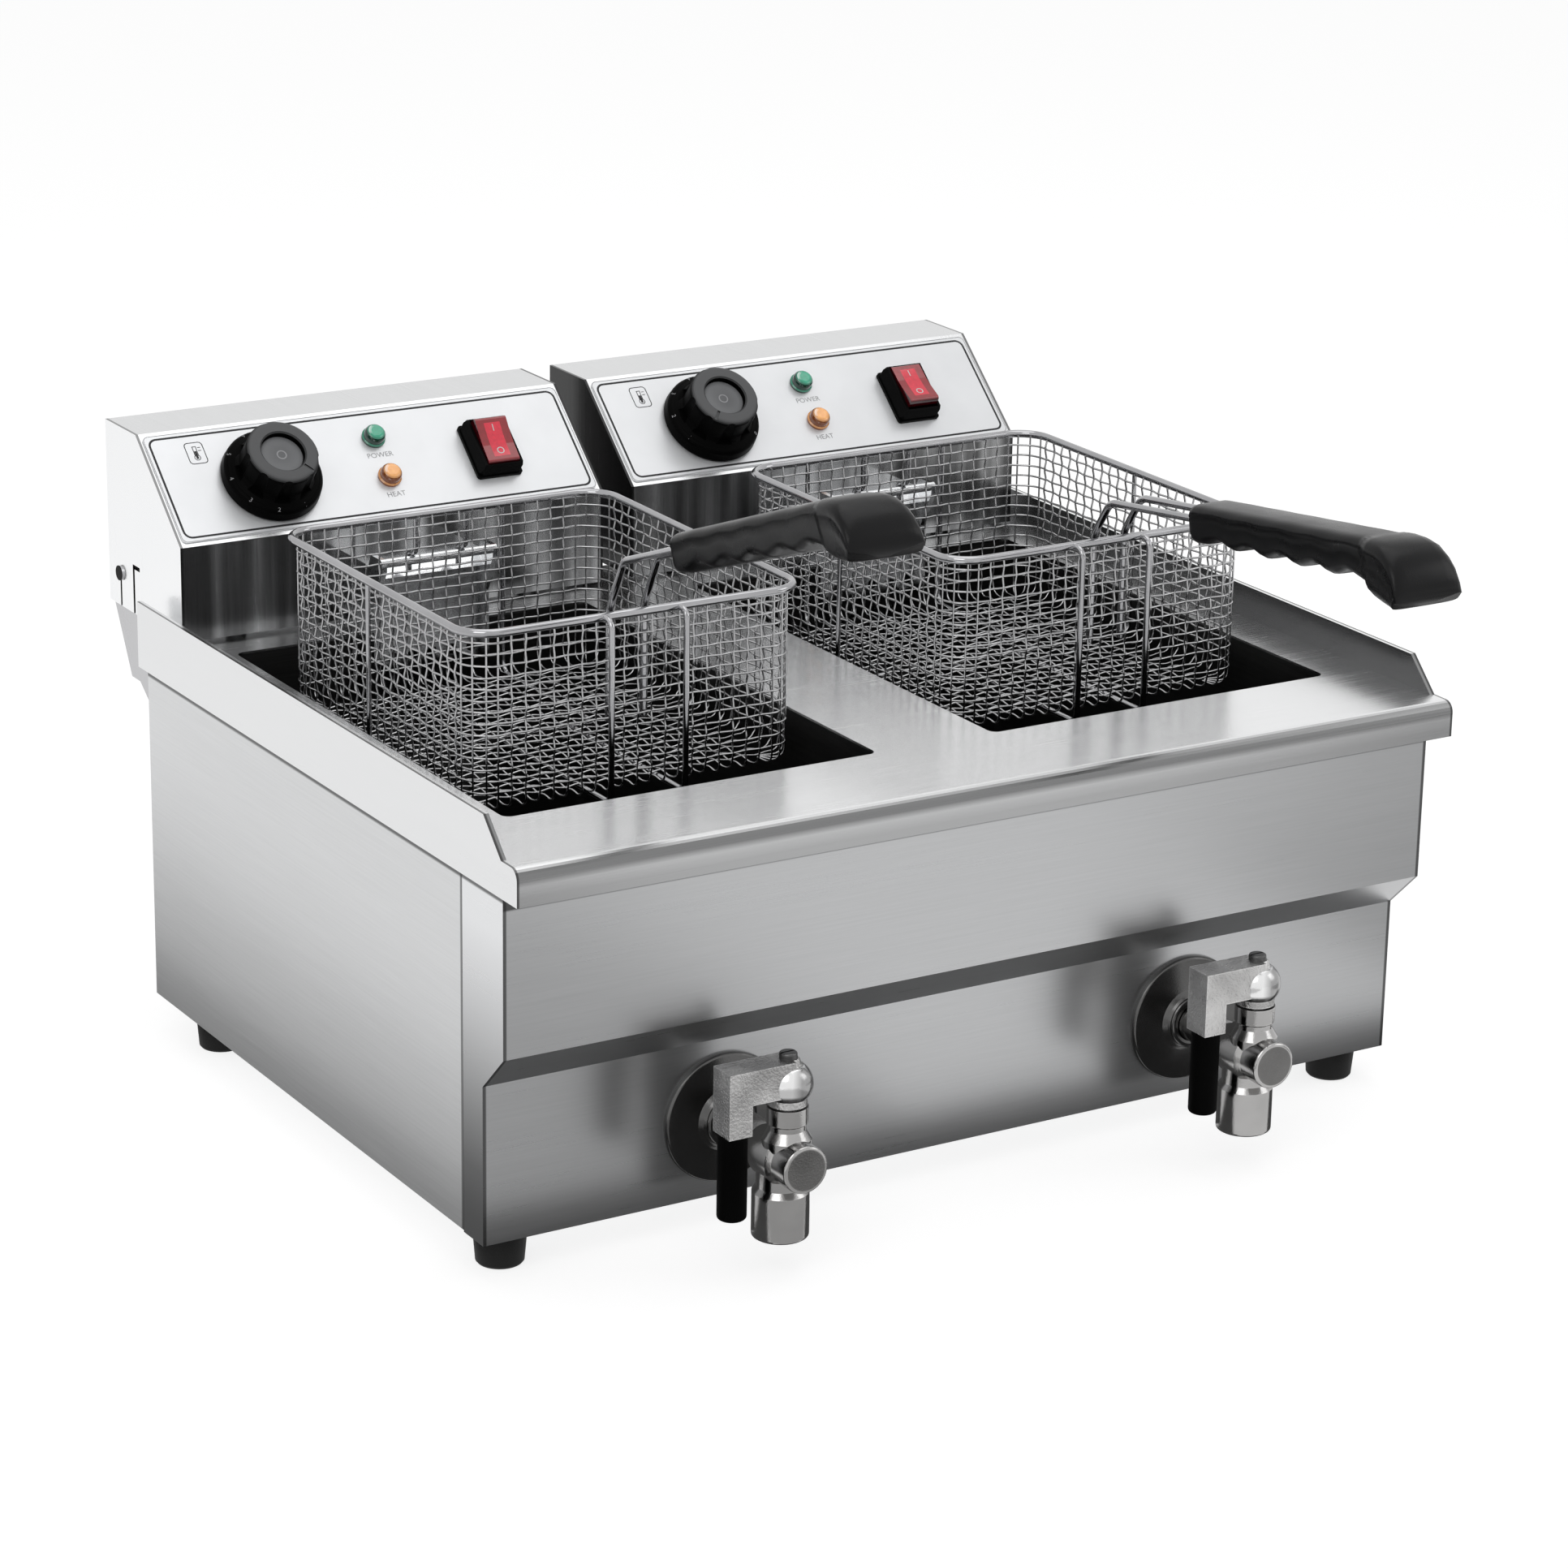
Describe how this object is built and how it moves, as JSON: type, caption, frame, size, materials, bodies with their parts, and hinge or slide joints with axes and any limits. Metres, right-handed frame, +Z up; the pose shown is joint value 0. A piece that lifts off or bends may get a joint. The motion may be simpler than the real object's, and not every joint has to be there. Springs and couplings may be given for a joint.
{
  "type": "deep fryer",
  "caption": "Countertop fryer with twin oil tanks, tilting control heads, hanging wire baskets and drain taps on a brushed steel cabinet.",
  "frame": {"origin": "centre of the footprint of the whole machine, on the plane under the feet", "axes": "+X to the right seen from the operator, +Y to the back away from the operator, +Z up; the front with the taps and basket handles faces -Y"},
  "size_m": [0.56, 0.6516, 0.414],
  "materials": {
    "brushed_steel": "brushed stainless sheet",
    "tank_steel": "satin stainless, seen from inside",
    "bracket_steel": "light grey plate",
    "polished_steel": "polished stainless sheet",
    "wire_steel": "bright electropolished wire",
    "element_alloy": "dull heater sheath",
    "tap_chrome": "nickel-plated casting",
    "dark_screw": "blackened screw head",
    "panel_film": "silver white printed plate",
    "black_plastic": "fine grained black plastic",
    "grip_plastic": "semi-gloss black handle plastic",
    "green_lens": "green lamp lens",
    "orange_lens": "amber lamp lens",
    "red_rocker": "translucent red rocker",
    "ceramic": "cream moulded insulation",
    "rubber": "black rubber"
  },
  "bodies": {
    "cabinet": {"deck_tray": "brushed_steel", "front_panel": "brushed_steel", "side_panel_left": "brushed_steel", "side_panel_right": "brushed_steel", "back_panel": "brushed_steel", "base_plate": "brushed_steel", "feet": "rubber", "hinge_brackets": "bracket_steel", "tank_left": "tank_steel", "tap_flange_left": "tap_chrome", "tap_body_left": "tap_chrome", "tank_right": "tank_steel", "tap_flange_right": "tap_chrome", "tap_body_right": "tap_chrome"},
    "head_left": {"head_housing_left": "brushed_steel", "head_cover_left": "brushed_steel", "control_plate_left": "panel_film", "lamp_green_left": "green_lens", "lamp_orange_left": "orange_lens", "switch_frame_left": "black_plastic", "thermostat_left": "ceramic", "terminal_block_left": "ceramic", "cord_gland_left": "black_plastic", "element_guard_left": "polished_steel", "heating_element_left": "element_alloy", "sensor_bulbs_left": "tap_chrome"},
    "knob_left": {"knob_left": "black_plastic"},
    "rocker_left": {"rocker_left": "red_rocker"},
    "basket_left": {"basket_frame_left": "wire_steel", "basket_mesh_left": "wire_steel", "handle_wires_left": "wire_steel", "handle_grip_left": "grip_plastic"},
    "lever_left": {"tap_ball_left": "polished_steel", "tap_lever_left": "tap_chrome", "tap_grip_left": "black_plastic", "tap_screw_left": "dark_screw"},
    "head_right": {"head_housing_right": "brushed_steel", "head_cover_right": "brushed_steel", "control_plate_right": "panel_film", "lamp_green_right": "green_lens", "lamp_orange_right": "orange_lens", "switch_frame_right": "black_plastic", "thermostat_right": "ceramic", "terminal_block_right": "ceramic", "cord_gland_right": "black_plastic", "element_guard_right": "polished_steel", "heating_element_right": "element_alloy", "sensor_bulbs_right": "tap_chrome"},
    "knob_right": {"knob_right": "black_plastic"},
    "rocker_right": {"rocker_right": "red_rocker"},
    "basket_right": {"basket_frame_right": "wire_steel", "basket_mesh_right": "wire_steel", "handle_wires_right": "wire_steel", "handle_grip_right": "grip_plastic"},
    "lever_right": {"tap_ball_right": "polished_steel", "tap_lever_right": "tap_chrome", "tap_grip_right": "black_plastic", "tap_screw_right": "dark_screw"}
  },
  "joints": [
    {"name": "head_tilt_left", "type": "hinge", "parent": "cabinet", "child": "head_left", "pos_m": [-0.139, 0.29777, 0.249], "axis": [-1, 0, 0], "range_deg": [0, 75]},
    {"name": "basket_lift_left", "type": "slide", "parent": "head_left", "child": "basket_left", "axis": [0, 0, 1], "range_m": [0, 0.15]},
    {"name": "knob_turn_left", "type": "hinge", "parent": "head_left", "child": "knob_left", "pos_m": [-0.203, 0.23619, 0.31399], "axis": [0, 0.6627, -0.7489], "range_deg": [-270, 0]},
    {"name": "rocker_tip_left", "type": "hinge", "parent": "head_left", "child": "rocker_left", "pos_m": [-0.068, 0.23851, 0.31137], "axis": [1, 0, 0], "range_deg": [-16, 0]},
    {"name": "tap_lever_turn_left", "type": "hinge", "parent": "cabinet", "child": "lever_left", "pos_m": [-0.142, -0.21123, 0.078], "axis": [0, 0, 1], "range_deg": [0, 90]},
    {"name": "head_tilt_right", "type": "hinge", "parent": "cabinet", "child": "head_right", "pos_m": [0.139, 0.29777, 0.249], "axis": [-1, 0, 0], "range_deg": [0, 75]},
    {"name": "basket_lift_right", "type": "slide", "parent": "head_right", "child": "basket_right", "axis": [0, 0, 1], "range_m": [0, 0.15]},
    {"name": "knob_turn_right", "type": "hinge", "parent": "head_right", "child": "knob_right", "pos_m": [0.075, 0.23619, 0.31399], "axis": [0, 0.6627, -0.7489], "range_deg": [0, 270]},
    {"name": "rocker_tip_right", "type": "hinge", "parent": "head_right", "child": "rocker_right", "pos_m": [0.21, 0.23851, 0.31137], "axis": [1, 0, 0], "range_deg": [0, 16]},
    {"name": "tap_lever_turn_right", "type": "hinge", "parent": "cabinet", "child": "lever_right", "pos_m": [0.142, -0.21123, 0.078], "axis": [0, 0, 1], "range_deg": [0, 90]}
  ]
}
